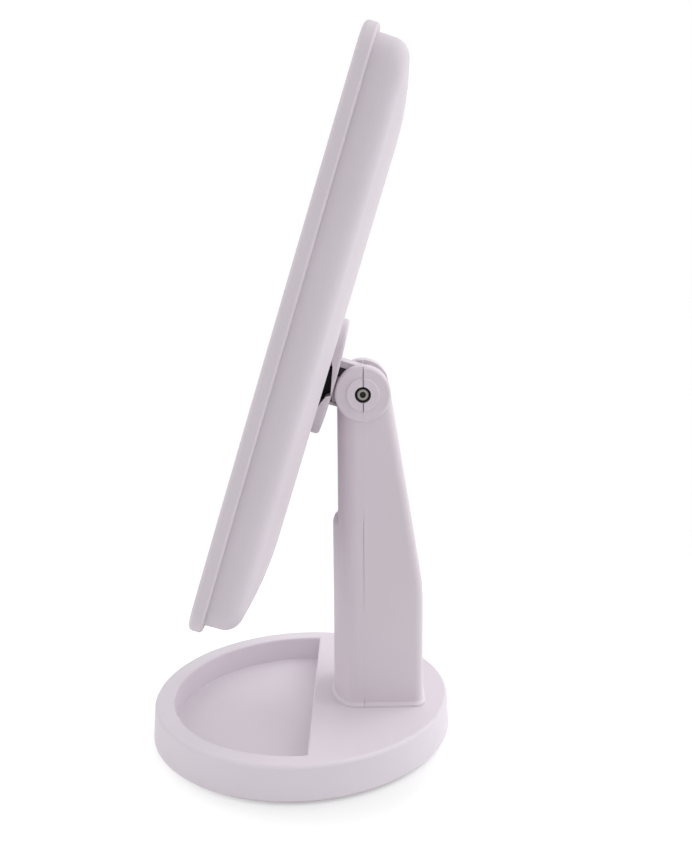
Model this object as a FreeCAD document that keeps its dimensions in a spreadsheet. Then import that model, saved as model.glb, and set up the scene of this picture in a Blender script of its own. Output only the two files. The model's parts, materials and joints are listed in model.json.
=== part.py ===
# Lighted table mirror on a tray base.
# World frame: origin under the middle of the base, front is -Y, up is +Z.
import FreeCAD, Part
import math
import os
import Sketcher
from FreeCAD import Placement, Rotation, Vector
from types import SimpleNamespace

doc = FreeCAD.newDocument("lighted_mirror")

# Driving sizes, in millimetres, degrees and shares
SIZES = {
    # base with its tray
    "base_radius": 61.6,
    "base_height": 14.0,
    "foot_drop": 0.8,
    "base_top_round": 1.5,
    "base_low_slope": 1.0,
    "base_flare": 0.8,
    "tray_rim": 7.9,
    "tray_edge_round": 0.8,
    "tray_depth": 10.4,
    "shelf_depth": 7.6,
    "skin": 2.0,
    "cover_thick": 1.4,
    "cover_lap": 2.5,
    "foot_radius": 6.0,
    "foot_inset": 14.6,
    "cover_screw_inset": 7.5,
    "cover_boss_radius": 3.0,
    # small fits shared by the mouldings
    "seat_gap": 0.2,
    "overrun": 3.0,
    # screws
    "screw_radius": 1.0,
    "screw_head_radius": 2.2,
    "screw_head": 0.9,
    "screw_bite": 5.0,
    # column
    "foot_margin": 10.0,
    "hinge_rise": 130.0,
    "column_width": 34.6,
    "nose_start": 2.4,
    "nose_low": 10.3,
    "upper_front": 10.3,
    "nose_flat_share": 0.85,
    "rear_depth": 24.2,
    "bend_rise": 50.8,
    "bend_radius": 90.0,
    "rear_corner": 3.5,
    "taper_share": 1.005,
    "step_rise": 75.8,
    "step_round": 1.6,
    "step_share": 0.3,
    "lip_out": 1.2,
    "lip_rise": 1.8,
    "lip_bevel": 1.0,
    "seam_gap": 0.12,
    "ear_gap": 0.36,
    "ear_groove": 2.0,
    "foot_boss_radius": 2.5,
    "foot_boss_rise": 2.4,
    "foot_screw_side": 9.6,
    "foot_screw_front": 3.6,
    "foot_screw_rear": 15.0,
    "column_boss_radius": 3.0,
    "column_screw_rise": 67.0,
    "column_screw_side": 12.6,
    "column_screw_depth": 9.0,
    # hinge
    "ear_radius": 11.0,
    "ear_proud": 1.4,
    "ear_bevel": 0.7,
    "boss_bevel": 0.5,
    "boss_radius": 6.75,
    "boss_proud": 0.8,
    "pin_radius": 2.2,
    "pin_play": 0.05,
    "pin_socket_radius": 1.2,
    "pin_socket_deep": 2.0,
    "pin_below": 1.0,
    "bore_radius": 3.2,
    "bore_deep": 3.6,
    "clip_thick": 0.6,
    "washer_thick": 0.8,
    "washer_radius": 8.0,
    "knuckle_width": 14.0,
    "knuckle_radius": 9.2,
    "knuckle_web": 2.6,
    "knuckle_web_low": 1.2,
    "slot_gap": 1.0,
    "foot_plate": 1.2,
    "foot_plate_width": 24.0,
    "foot_plate_up": 9.0,
    "foot_plate_down": 7.6,
    "pad_screw_side": 8.6,
    # mirror head
    "rest_tilt": 17.1,
    "hinge_clear": 0.6,
    "axis_below": 17.6,
    "head_width": 168.0,
    "head_height": 215.2,
    "head_corner": 13.0,
    "corner_share": 0.45,
    "side_bow_radius": 3000.0,
    "end_bow_radius": 900.0,
    "bezel_thick": 4.9,
    "bezel_wall": 2.0,
    "bezel_lip": 3.2,
    "lip_thick": 1.0,
    "bezel_front_round": 1.8,
    "bezel_rear_bevel": 0.7,
    "head_thick": 20.6,
    "shell_inset": 2.4,
    "shell_slope_in": 19.0,
    "shell_slope_deep": 5.0,
    "shell_edge_round": 6.2,
    "shell_back_round": 85.0,
    "diffuser_thick": 2.0,
    "glass_thick": 3.0,
    "glass_inset": 14.5,
    "frame_flange": 0.9,
    "channel_wall": 1.2,
    "channel_deep": 5.0,
    "frame_plate": 1.8,
    "led_board_thick": 1.1,
    "led_long": 3.5,
    "led_wide": 2.8,
    "led_tall": 1.0,
    "touch_width": 26.0,
    "touch_height": 13.0,
    "touch_thick": 1.2,
    "touch_up": 9.0,
    # pad on the back of the head
    "pad_width": 38.0,
    "pad_up": 25.0,
    "pad_down": 21.6,
    "pad_thick": 3.9,
    "pad_bow_radius": 266.0,
    "pad_crest": 2.3,
    "pad_corner": 10.0,
    "pad_wall": 1.4,
    "pad_round": 1.2,
    "notch_up": 9.1,
    "notch_bulge": 7.1,
    "notch_bulge_share": 0.3,
    "notch_low": 4.0,
    "notch_heel": 5.0,
    "notch_heel_share": 0.5,
    "notch_down": 9.4,
    "notch_skin": 0.4,
    # battery bay
    "cell_radius": 7.0,
    "cell_long": 49.5,
    "nub_radius": 2.7,
    "nub_long": 1.0,
    "cell_pitch_side": 14.4,
    "cell_pitch_back": 14.2,
    "cell_front": 1.6,
    "case_plate": 1.4,
    "case_half_width": 13.4,
    "case_front": 3.4,
    "case_rear": 17.8,
    "spine_half": 1.3,
    "spine_front": 8.8,
    "spine_rear": 6.1,
    "leaf_long": 8.0,
    "leaf_rise": 1.8,
    "leaf_thick": 0.35,
    "leaf_wide": 6.0,
    "leaf_top_share": 0.75,
    "leaf_bend_share": 0.125,
    "plate_contact": 0.5,
    "door_half_width": 13.0,
    "door_low": 6.2,
    "door_high": 62.6,
    "door_gap": 0.3,
    "ledge": 1.4,
    "ledge_thick": 1.1,
    "grip_half_width": 7.0,
    "grip_drop": 3.0,
    "grip_height": 7.0,
    "grip_deep": 0.8,
    # power board, socket and switch behind the sloping rear wall
    "board_half_width": 12.6,
    "board_half_height": 11.0,
    "board_thick": 1.6,
    "board_stand": 3.6,
    "board_boss_radius": 2.2,
    "board_boss_side": 9.6,
    "board_boss_up": 8.2,
    "usb_width": 7.6,
    "usb_height": 3.0,
    "usb_wall": 0.4,
    "usb_drop": 5.2,
    "usb_back": 0.4,
    "usb_hole_gap": 0.4,
    "tongue_share": 0.3,
    "switch_up": 4.8,
    "switch_body_width": 6.6,
    "switch_body_height": 8.4,
    "switch_travel": 3.0,
    "knob_width": 3.8,
    "knob_height": 3.6,
    "knob_sunk": 0.2,
    "knob_groove": 0.5,
    "knob_gap": 0.3,
    "scoop_margin": 2.0,
    "scoop_deep": 0.9,
}

# How many of each
LEDS_PER_SIDE = 7
LEDS_PER_END = 4
COVER_SCREW_ANGLES = (20.0, 90.0, 160.0)
FOOT_ANGLES = (45.0, 135.0, 225.0, 315.0)
# Shares of the turn at which the long curve of the rear shell's back is drawn
BACK_SHARES = (1.0, 0.8, 0.6, 0.4, 0.2, 0.0)

sheet = doc.addObject("Spreadsheet::Sheet", "sizes")
for row, (alias, number) in enumerate(SIZES.items(), 1):
    sheet.set(f"A{row}", str(number))
    sheet.setAlias(f"A{row}", alias)
doc.recompute()


class Size:
    """A number together with the sheet expression that gives it."""

    def __init__(self, value, text):
        self.value = float(value)
        self.text = text

    def joined(self, other, sign, value):
        return Size(value, f"({self.text} {sign} {other.text})")

    def __add__(self, other):
        other = size(other)
        return self.joined(other, "+", self.value + other.value)

    def __sub__(self, other):
        other = size(other)
        return self.joined(other, "-", self.value - other.value)

    def __mul__(self, other):
        other = size(other)
        return self.joined(other, "*", self.value * other.value)

    def __truediv__(self, other):
        other = size(other)
        return self.joined(other, "/", self.value / other.value)

    def __rmul__(self, other):
        return size(other) * self

    def __neg__(self):
        return Size(-self.value, f"(-{self.text})")


def size(thing):
    if isinstance(thing, Size):
        return thing
    return Size(thing, f"({thing})")


S = SimpleNamespace(**{alias: Size(sheet.get(alias), f"sizes.{alias}") for alias in SIZES})
ZERO = size(0)


# Sketch helpers
def new_body(label):
    body = doc.addObject("PartDesign::Body", label)
    body.Label = label
    return body


def new_sketch(body, role, across=ZERO, along=ZERO, offset=ZERO):
    sketch = body.newObject("Sketcher::SketchObject", f"{body.Label}_sketch")
    plane = [item for item in body.Origin.OriginFeatures if item.Role == role][0]
    sketch.AttachmentSupport = [(plane, "")]
    sketch.MapMode = "FlatFace"
    for axis, shift in zip("xyz", (across, along, offset)):
        if shift is not ZERO:
            sketch.setExpression(f"AttachmentOffset.Base.{axis}", shift.text)
    return sketch


def dimension(sketch, kind, *places, to):
    index = sketch.addConstraint(Sketcher.Constraint(kind, *places, to.value))
    sketch.setExpression(f"Constraints[{index}]", to.text)


def link(sketch, kind, *places):
    sketch.addConstraint(Sketcher.Constraint(kind, *places))


def flat(x, y):
    return Vector(x, y, 0)


def draw_arc(sketch, x, y, radius, start, end):
    ring = Part.Circle(flat(x, y), flat(0, 0) + Vector(0, 0, 1), radius)
    return sketch.addGeometry(Part.ArcOfCircle(ring, start, end))


def draw_line(sketch, start, end):
    return sketch.addGeometry(Part.LineSegment(flat(*start), flat(*end)))


def draw_circle(sketch, radius, x=ZERO, y=ZERO):
    ring = sketch.addGeometry(Part.Circle(flat(x.value, y.value), Vector(0, 0, 1), radius.value))
    dimension(sketch, "Radius", ring, to=radius)
    dimension(sketch, "DistanceX", -1, 1, ring, 3, to=x)
    dimension(sketch, "DistanceY", -1, 1, ring, 3, to=y)


def draw_polygon(sketch, points):
    spots = [(x.value, y.value) for x, y in points]
    lines = [draw_line(sketch, spot, spots[(k + 1) % len(spots)]) for k, spot in enumerate(spots)]
    for k, line in enumerate(lines):
        link(sketch, "Coincident", line, 2, lines[(k + 1) % len(lines)], 1)
    for line, (x, y) in zip(lines, points):
        dimension(sketch, "DistanceX", -1, 1, line, 1, to=x)
        dimension(sketch, "DistanceY", -1, 1, line, 1, to=y)


def draw_dish(sketch, radius, chord, rear):
    """A disc cut by a straight line across, keeping the rear or the front part."""
    half = math.acos(chord.value / radius.value)
    quarter = math.pi / 2
    begin, end = (quarter - half, quarter + half) if rear else (quarter + half, quarter - half + math.tau)
    arc = draw_arc(sketch, 0, 0, radius.value, begin, end)
    reach = radius.value * math.sin(half)
    ends = [(-reach, chord.value), (reach, chord.value)]
    line = draw_line(sketch, *(ends if rear else ends[::-1]))
    link(sketch, "Coincident", arc, 3, -1, 1)
    link(sketch, "Coincident", arc, 2, line, 1)
    link(sketch, "Coincident", line, 2, arc, 1)
    link(sketch, "Horizontal", line)
    dimension(sketch, "Radius", arc, to=radius)
    dimension(sketch, "DistanceY", -1, 1, line, 1, to=chord)


def draw_outline(sketch, inset):
    """The bowed rounded rectangle of the head, set in from its edge."""
    half_w = S.head_width / 2 - inset
    half_h = S.head_height / 2 - inset
    side = S.side_bow_radius - inset
    end = S.end_bow_radius - inset
    corner = S.head_corner / (S.corner_share * inset / S.head_corner + 1)
    side_at = half_w.value - side.value
    end_at = half_h.value - end.value
    reach_side = side.value - corner.value
    reach_end = end.value - corner.value
    span = math.hypot(side_at, end_at)
    part = (reach_side ** 2 - reach_end ** 2 + span ** 2) / (2 * span)
    lift = math.sqrt(reach_side ** 2 - part ** 2)
    ux, uy = -side_at / span, end_at / span
    spots = [(side_at + part * ux - k * lift * uy, part * uy + k * lift * ux) for k in (1, -1)]
    cx, cy = max(spots)
    low = math.atan2(cy, cx - side_at)
    high = math.atan2(cy - end_at, cx)
    pi = math.pi
    arcs = [
        draw_arc(sketch, side_at, 0, side.value, -low, low),
        draw_arc(sketch, cx, cy, corner.value, low, high),
        draw_arc(sketch, 0, end_at, end.value, high, pi - high),
        draw_arc(sketch, -cx, cy, corner.value, pi - high, pi - low),
        draw_arc(sketch, -side_at, 0, side.value, pi - low, pi + low),
        draw_arc(sketch, -cx, -cy, corner.value, pi + low, pi + high),
        draw_arc(sketch, 0, -end_at, end.value, pi + high, 2 * pi - high),
        draw_arc(sketch, cx, -cy, corner.value, 2 * pi - high, 2 * pi - low),
    ]
    for k, arc in enumerate(arcs):
        link(sketch, "Tangent", arc, 2, arcs[(k + 1) % len(arcs)], 1)
    right, first, top, second, left, third, bottom, fourth = arcs
    for arc, axis in ((right, -1), (left, -1), (top, -2), (bottom, -2)):
        link(sketch, "PointOnObject", arc, 3, axis)
    for pair in ((right, left), (top, bottom), (first, second), (first, third), (first, fourth)):
        link(sketch, "Equal", *pair)
    dimension(sketch, "Radius", right, to=side)
    dimension(sketch, "Radius", top, to=end)
    dimension(sketch, "Radius", first, to=corner)
    dimension(sketch, "DistanceX", right, 3, -1, 1, to=side - half_w)
    dimension(sketch, "DistanceX", -1, 1, left, 3, to=side - half_w)
    dimension(sketch, "DistanceY", top, 3, -1, 1, to=end - half_h)
    dimension(sketch, "DistanceY", -1, 1, bottom, 3, to=end - half_h)


def draw_nose(sketch, inset, bow, rear):
    """Plan of the column: straight sides and back, bowed nose towards the front."""
    full = S.column_width / 2
    nose = S.nose_flat_share * full * full / bow
    corner = (full * full + bow * bow - 2 * bow * nose) / (2 * (full - nose))
    w = full.value - inset.value
    y0 = -S.nose_start.value
    back = (rear - inset).value
    nose_y = y0 - bow.value + nose.value
    turn = math.atan2(y0 - nose_y, full.value - corner.value)
    cx = full.value - corner.value
    r_corner = corner.value - inset.value
    right_arc = draw_arc(sketch, cx, y0, r_corner, turn, 0)
    nose_arc = draw_arc(sketch, 0, nose_y, nose.value - inset.value, math.pi - turn, turn)
    left_arc = draw_arc(sketch, -cx, y0, r_corner, math.pi, math.pi - turn)
    right_line = draw_line(sketch, (w, y0), (w, back))
    rear_line = draw_line(sketch, (w, back), (-w, back))
    left_line = draw_line(sketch, (-w, back), (-w, y0))
    link(sketch, "Tangent", nose_arc, 2, right_arc, 1)
    link(sketch, "Tangent", right_arc, 2, right_line, 1)
    link(sketch, "Coincident", right_line, 2, rear_line, 1)
    link(sketch, "Coincident", rear_line, 2, left_line, 1)
    link(sketch, "Tangent", left_line, 2, left_arc, 1)
    link(sketch, "Tangent", left_arc, 2, nose_arc, 1)
    link(sketch, "Vertical", right_line)
    link(sketch, "Vertical", left_line)
    link(sketch, "Horizontal", rear_line)
    link(sketch, "Equal", left_arc, right_arc)
    link(sketch, "PointOnObject", nose_arc, 3, -2)
    dimension(sketch, "DistanceX", -1, 1, right_line, 1, to=full - inset)
    dimension(sketch, "DistanceX", left_line, 1, -1, 1, to=full - inset)
    dimension(sketch, "DistanceY", -1, 1, rear_line, 1, to=rear - inset)
    dimension(sketch, "DistanceY", right_arc, 3, -1, 1, to=S.nose_start)
    dimension(sketch, "Radius", nose_arc, to=nose - inset)
    dimension(sketch, "Radius", right_arc, to=corner - inset)


# Feature helpers
def finish_feature(body, feature):
    body.Tip = feature
    doc.recompute()
    return feature


def pad(body, sketch, length, midplane=False, back=False):
    feature = body.newObject("PartDesign::Pad", f"{body.Label}_pad")
    feature.Profile = sketch
    feature.setExpression("Length", length.text)
    feature.Midplane = midplane
    feature.Reversed = back
    return finish_feature(body, feature)


def pocket(body, sketch, length, midplane=False, back=False):
    feature = body.newObject("PartDesign::Pocket", f"{body.Label}_pocket")
    feature.Profile = sketch
    feature.setExpression("Length", length.text)
    feature.Midplane = midplane
    feature.Reversed = back
    return finish_feature(body, feature)


def revolve(body, sketch):
    feature = body.newObject("PartDesign::Revolution", f"{body.Label}_turned")
    feature.Profile = sketch
    feature.ReferenceAxis = (sketch, ["V_Axis"])
    return finish_feature(body, feature)


def edges_where(shape, test):
    return [f"Edge{k}" for k, edge in enumerate(shape.Edges, 1) if test(edge)]


def round_edges(body, radius, test):
    before = body.Tip
    feature = body.newObject("PartDesign::Fillet", f"{body.Label}_fillet")
    feature.Base = (before, edges_where(before.Shape, test))
    feature.setExpression("Radius", radius.text)
    return finish_feature(body, feature)


def bevel_edges(body, width, test):
    before = body.Tip
    feature = body.newObject("PartDesign::Chamfer", f"{body.Label}_chamfer")
    feature.Base = (before, edges_where(before.Shape, test))
    feature.setExpression("Size", width.text)
    return finish_feature(body, feature)


NEAR = 1e-4


def lies_at(axis, level):
    """Test for edges that lie wholly in a plane across an axis."""
    def test(edge):
        box_ = edge.BoundBox
        low = getattr(box_, f"{axis}Min")
        high = getattr(box_, f"{axis}Max")
        return abs(low - level) < NEAR and abs(high - level) < NEAR
    return test


# Primitive helpers
def placed(thing, x, y, z):
    for axis, shift in zip("xyz", (x, y, z)):
        if shift is not ZERO:
            thing.setExpression(f"Placement.Base.{axis}", shift.text)
    return thing


def box(label, x, y, z):
    """A block between two sizes along each axis."""
    block = doc.addObject("Part::Box", label)
    for side, (low, high) in zip(("Length", "Width", "Height"), (x, y, z)):
        block.setExpression(side, (size(high) - size(low)).text)
    return placed(block, *(size(low) for low, high in (x, y, z)))


TURNS = {
    "x": Rotation(Vector(0, 1, 0), 90),
    "y": Rotation(Vector(1, 0, 0), -90),
    "z": Rotation(),
}


def rod(label, radius, axis, reach, x=ZERO, y=ZERO, z=ZERO):
    """A cylinder along an axis between two sizes, centred at the other two."""
    bar = doc.addObject("Part::Cylinder", label)
    low, high = (size(level) for level in reach)
    bar.Placement = Placement(Vector(), TURNS[axis])
    bar.setExpression("Radius", radius.text)
    bar.setExpression("Height", (high - low).text)
    spot = {"x": x, "y": y, "z": z}
    spot[axis] = low
    return placed(bar, spot["x"], spot["y"], spot["z"])


def fuse(label, *items):
    joined = doc.addObject("Part::MultiFuse", label)
    joined.Shapes = list(items)
    joined.Label = label
    return joined


def cut(label, base, *tools):
    tool = tools[0] if len(tools) == 1 else fuse(f"{label}_tools", *tools)
    left = doc.addObject("Part::Cut", label)
    left.Base = base
    left.Tool = tool
    left.Label = label
    return left


def common(label, *items):
    shared = doc.addObject("Part::MultiCommon", label)
    shared.Shapes = list(items)
    shared.Label = label
    return shared


def group(label, items):
    bundle = doc.addObject("Part::Compound", label)
    bundle.Links = list(items)
    bundle.Label = label
    return bundle


def screw(label, axis, head_at, into, length, x=ZERO, y=ZERO, z=ZERO):
    """A pan head with its shank; the head lies on the side away from where the shank goes."""
    if into > 0:
        head = rod(f"{label}_head", S.screw_head_radius, axis, (head_at - S.screw_head, head_at), x, y, z)
        reach = (head_at - S.screw_head / 2, head_at + length)
    else:
        head = rod(f"{label}_head", S.screw_head_radius, axis, (head_at, head_at + S.screw_head), x, y, z)
        reach = (head_at - length, head_at + S.screw_head / 2)
    shank = rod(f"{label}_shank", S.screw_radius, axis, reach, x, y, z)
    return fuse(label, head, shank)


PIECES = []


def piece(thing, place=None):
    """Keep a finished sub-part, moved to its place in the assembly."""
    PIECES.append((thing, place))
    return thing


# Levels and places that several parts share
base_top = S.foot_drop + S.base_height
hinge_back = S.base_radius - S.rear_depth - S.lip_out - S.foot_margin
tray_edge = hinge_back - S.nose_start - S.nose_low - S.lip_out - S.shelf_depth
inner_radius = S.base_radius - S.cover_lap
screw_ring = inner_radius - S.cover_screw_inset
foot_ring = S.base_radius - S.foot_inset
cover_top = S.foot_drop + S.cover_thick
hinge_z = base_top + S.hinge_rise
bend_z = base_top + S.bend_rise
step_z = base_top + S.step_rise
half_column = S.column_width / 2
ear_face = half_column + S.ear_proud
boss_face = ear_face + S.boss_proud
axis_depth = S.head_thick + S.pad_thick + S.hinge_clear + S.ear_radius
ear_inside = S.knuckle_width / 2 + S.washer_thick + 2 * S.pin_play
slot_floor = hinge_z - S.knuckle_radius - S.slot_gap
pilot_radius = S.screw_radius + S.pin_play
HEAD_PLACE = Placement(
    Vector(0, hinge_back.value, hinge_z.value),
    Rotation(Vector(1, 0, 0), -S.rest_tilt.value),
)


# Base with its tray
base = new_body("base_tray")
sketch = new_sketch(base, "XZ_Plane")
draw_polygon(sketch, [
    (ZERO, S.foot_drop),
    (S.base_radius + S.base_flare - S.base_low_slope, S.foot_drop),
    (S.base_radius + S.base_flare, S.foot_drop + S.base_low_slope),
    (S.base_radius, base_top),
    (ZERO, base_top),
])
revolve(base, sketch)
round_edges(base, S.base_top_round, lies_at("Z", base_top.value))
sketch = new_sketch(base, "XY_Plane", offset=base_top)
draw_dish(sketch, S.base_radius - S.tray_rim, tray_edge, rear=False)
pocket(base, sketch, S.tray_depth)
tray_radius = S.base_radius - S.tray_rim


def tray_rim_edge(edge):
    """Edges round the top of the tray, not those of the outer rounding."""
    reach = max(math.hypot(vertex.X, vertex.Y) for vertex in edge.Vertexes)
    return lies_at("Z", base_top.value)(edge) and reach < tray_radius.value + NEAR


round_edges(base, S.tray_edge_round, tray_rim_edge)
sketch = new_sketch(base, "XY_Plane", offset=S.foot_drop)
draw_circle(sketch, inner_radius)
pocket(base, sketch, S.cover_thick, back=True)
sketch = new_sketch(base, "XY_Plane", offset=cover_top)
draw_dish(sketch, inner_radius, tray_edge + S.skin, rear=True)
pocket(base, sketch, base_top - S.skin - cover_top, back=True)
cover_spots = []
for angle in COVER_SCREW_ANGLES:
    turn = math.radians(angle)
    cover_spots.append((screw_ring * math.cos(turn), screw_ring * math.sin(turn)))
for x, y in cover_spots:
    sketch = new_sketch(base, "XY_Plane", offset=cover_top)
    draw_circle(sketch, S.cover_boss_radius, x, y)
    pad(base, sketch, base_top - S.skin / 2 - cover_top)
    sketch = new_sketch(base, "XY_Plane", offset=cover_top)
    draw_circle(sketch, pilot_radius, x, y)
    pocket(base, sketch, S.screw_bite + S.screw_head, back=True)
foot_spots = []
for side in (-1, 1):
    for y in (hinge_back - S.foot_screw_front, hinge_back + S.foot_screw_rear):
        foot_spots.append((side * S.foot_screw_side, y))
for x, y in foot_spots:
    sketch = new_sketch(base, "XY_Plane", offset=base_top - 2 * S.skin)
    draw_circle(sketch, pilot_radius, x, y)
    pocket(base, sketch, 3 * S.skin, back=True)
piece(base)

# Bottom cover with sunk screw holes
cover = new_body("base_cover")
sketch = new_sketch(cover, "XY_Plane", offset=S.foot_drop)
draw_circle(sketch, inner_radius - S.seat_gap)
pad(cover, sketch, S.cover_thick)
for x, y in cover_spots:
    sketch = new_sketch(cover, "XY_Plane", offset=S.foot_drop)
    draw_circle(sketch, S.screw_head_radius + S.seat_gap, x, y)
    pocket(cover, sketch, S.screw_head, back=True)
    sketch = new_sketch(cover, "XY_Plane", offset=S.foot_drop)
    draw_circle(sketch, pilot_radius, x, y)
    pocket(cover, sketch, S.cover_thick, back=True)
piece(cover)
piece(group("base_cover_screws", [
    screw(f"cover_screw_{k}", "z", S.foot_drop + S.screw_head, 1, S.screw_bite, x, y)
    for k, (x, y) in enumerate(cover_spots, 1)
]))

# Rubber feet
feet = []
for k, angle in enumerate(FOOT_ANGLES, 1):
    turn = math.radians(angle)
    x = foot_ring * math.cos(turn)
    y = foot_ring * math.sin(turn)
    feet.append(rod(f"foot_{k}", S.foot_radius, "z", (ZERO, S.foot_drop), x, y))
piece(group("base_feet", feet))


# Column: one hollow form, split into a front and a rear shell through the hinge axis
tip = -(S.nose_start + S.nose_low)


def column_form(label, inset, bottom, top):
    """The column's body set in by a wall: bowed nose, recessed upper front, tapered back."""
    body = new_body(label)
    outline = new_sketch(body, "XY_Plane", along=hinge_back, offset=bottom)
    draw_nose(outline, inset, S.nose_low, S.rear_depth)
    pad(body, outline, top - bottom)
    slope = new_sketch(body, "YZ_Plane", across=hinge_back)
    low_y = S.rear_depth - inset
    high_y = S.ear_radius * S.taper_share - inset
    over = hinge_z + S.overrun
    lean = (low_y - high_y) / (hinge_z - bend_z)
    draw_polygon(slope, [
        (low_y, bend_z),
        (high_y - lean * S.overrun, over),
        (low_y + S.overrun, over),
        (low_y + S.overrun, bend_z),
    ])
    pocket(body, slope, 2 * S.column_width, midplane=True)
    rear = hinge_back.value + low_y.value

    def bend(edge):
        box_ = edge.BoundBox
        flat_z = box_.ZMax - box_.ZMin < NEAR and abs(box_.ZMin - bend_z.value) < NEAR
        return flat_z and abs(box_.YMin - rear) < NEAR
    round_edges(body, S.bend_radius - inset, bend)
    step = step_z - inset
    lead = tip + inset
    face = inset - S.upper_front
    recess = new_sketch(body, "YZ_Plane", across=hinge_back)
    draw_polygon(recess, [
        (lead, step - S.step_round),
        (lead + S.step_round * S.step_share, step - S.step_round * S.step_share),
        (lead + S.step_round, step),
        (face, step),
        (face, over),
        (lead - S.overrun, over),
        (lead - S.overrun, step - S.step_round),
    ])
    pocket(body, recess, 2 * S.column_width, midplane=True)
    return body


column = column_form("column_outer", ZERO, base_top, hinge_z)
back_line = hinge_back.value + S.ear_radius.value


def rear_corner_edge(edge):
    box_ = edge.BoundBox
    upright = box_.ZMax - box_.ZMin > S.skin.value
    at_side = abs(abs(box_.XMin) - half_column.value) < NEAR and box_.XMax - box_.XMin < NEAR
    return upright and at_side and box_.YMin > back_line - S.skin.value


round_edges(column, S.rear_corner, rear_corner_edge)
# lip round the foot
sketch = new_sketch(column, "XY_Plane", along=hinge_back, offset=base_top)
draw_nose(sketch, -S.lip_out, S.nose_low, S.rear_depth)
pad(column, sketch, S.lip_rise)


def lip_corner(edge):
    box_ = edge.BoundBox
    upright = abs(box_.ZMax - box_.ZMin - S.lip_rise.value) < NEAR
    return upright and abs(box_.YMax - hinge_back.value - S.rear_depth.value - S.lip_out.value) < NEAR


round_edges(column, S.rear_corner + S.lip_out, lip_corner)


def lip_top(edge):
    """The outer edge of the lip's top, not the line where it meets the column."""
    box_ = edge.BoundBox
    wide = half_column.value + S.lip_out.value / 2
    back = hinge_back.value + S.rear_depth.value + S.lip_out.value / 2
    front = hinge_back.value + tip.value - S.lip_out.value / 2
    outside = max(abs(box_.XMin), abs(box_.XMax)) > wide or box_.YMax > back or box_.YMin < front
    return lies_at("Z", base_top.value + S.lip_rise.value)(edge) and outside


bevel_edges(column, S.lip_bevel, lip_top)
# hinge ears with raised bosses, slot between them, bore and counterbores
for radius, face in ((S.ear_radius, ear_face), (S.boss_radius, boss_face)):
    sketch = new_sketch(column, "YZ_Plane", across=hinge_back, along=hinge_z)
    draw_circle(sketch, radius)
    pad(column, sketch, 2 * face, midplane=True)


def ear_rim(radius, level):
    """Test for the outer circle of an ear or boss face."""
    top = hinge_z.value + radius.value
    return lambda edge: lies_at("X", level)(edge) and abs(edge.BoundBox.ZMax - top) < NEAR


for side in (-1, 1):
    bevel_edges(column, S.ear_bevel, ear_rim(S.ear_radius, side * ear_face.value))
    bevel_edges(column, S.boss_bevel, ear_rim(S.boss_radius, side * boss_face.value))
sketch = new_sketch(column, "YZ_Plane", across=hinge_back)
slot_side = S.ear_radius + S.rear_depth
slot_top = hinge_z + S.ear_radius + S.overrun
draw_polygon(sketch, [
    (-slot_side, slot_floor),
    (slot_side, slot_floor),
    (slot_side, slot_top),
    (-slot_side, slot_top),
])
pocket(column, sketch, 2 * ear_inside, midplane=True)
sketch = new_sketch(column, "YZ_Plane", across=hinge_back, along=hinge_z)
draw_circle(sketch, S.pin_radius + S.pin_play)
pocket(column, sketch, 3 * boss_face, midplane=True)
for side in (-1, 1):
    sketch = new_sketch(column, "YZ_Plane", across=hinge_back, along=hinge_z, offset=side * boss_face)
    draw_circle(sketch, S.bore_radius)
    pocket(column, sketch, S.bore_deep, back=side < 0)

floor_z = base_top + S.skin
void_top = slot_floor - S.skin
void = column_form("column_void", S.skin, floor_z, void_top)
hollow = cut("column_hollow", column, void)
far = S.base_radius
rear_half = box("rear_half", (-far, far), (hinge_back, far + far), (ZERO, 2 * hinge_z))
front_half = fuse(
    "front_half",
    box("front_low", (-far, far), (-far, hinge_back + S.seam_gap), (ZERO, 2 * hinge_z)),
    *[
        box(f"ear_groove_{k}", reach, (-far, hinge_back + S.ear_gap), (hinge_z - S.boss_radius, 2 * hinge_z))
        for k, reach in enumerate(((-far, S.ear_groove - boss_face), (boss_face - S.ear_groove, far)))
    ])

# bosses for the foot screws and the column screws
front_bosses = []
rear_bosses = []
pilots = []
boss_top = floor_z + S.foot_boss_rise
for k, (x, y) in enumerate(foot_spots):
    boss = rod(f"foot_boss_{k}", S.foot_boss_radius, "z", (floor_z - S.skin / 2, boss_top), x, y)
    (front_bosses if y.value < hinge_back.value else rear_bosses).append(boss)
    pilots.append(rod(f"foot_pilot_{k}", pilot_radius, "z", (base_top - S.overrun, boss_top), x, y))
column_screw_z = base_top + S.column_screw_rise
column_spots = [side * S.column_screw_side for side in (-1, 1)]
head_y = hinge_back + S.column_screw_depth
front_y = hinge_back - S.nose_start - S.screw_bite
for k, x in enumerate(column_spots):
    shell_boss = rod(
        f"rear_boss_{k}", S.column_boss_radius, "y", (hinge_back, head_y), x, ZERO, column_screw_z)
    rear_bosses.append(shell_boss)
    nose_boss = rod(
        f"nose_boss_{k}", S.column_boss_radius, "y", (front_y, hinge_back), x, ZERO, column_screw_z)
    front_bosses.append(nose_boss)
    hole = rod(
        f"column_pilot_{k}", pilot_radius, "y", (front_y + S.skin, head_y + S.overrun),
        x, ZERO, column_screw_z)
    pilots.append(hole)
limit = column_form("column_limit", S.skin / 2, base_top, void_top)
front_bosses = common("front_bosses_kept", fuse("front_bosses", *front_bosses), limit)
rear_bosses = common("rear_bosses_kept", fuse("rear_bosses", *rear_bosses), limit)

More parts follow.
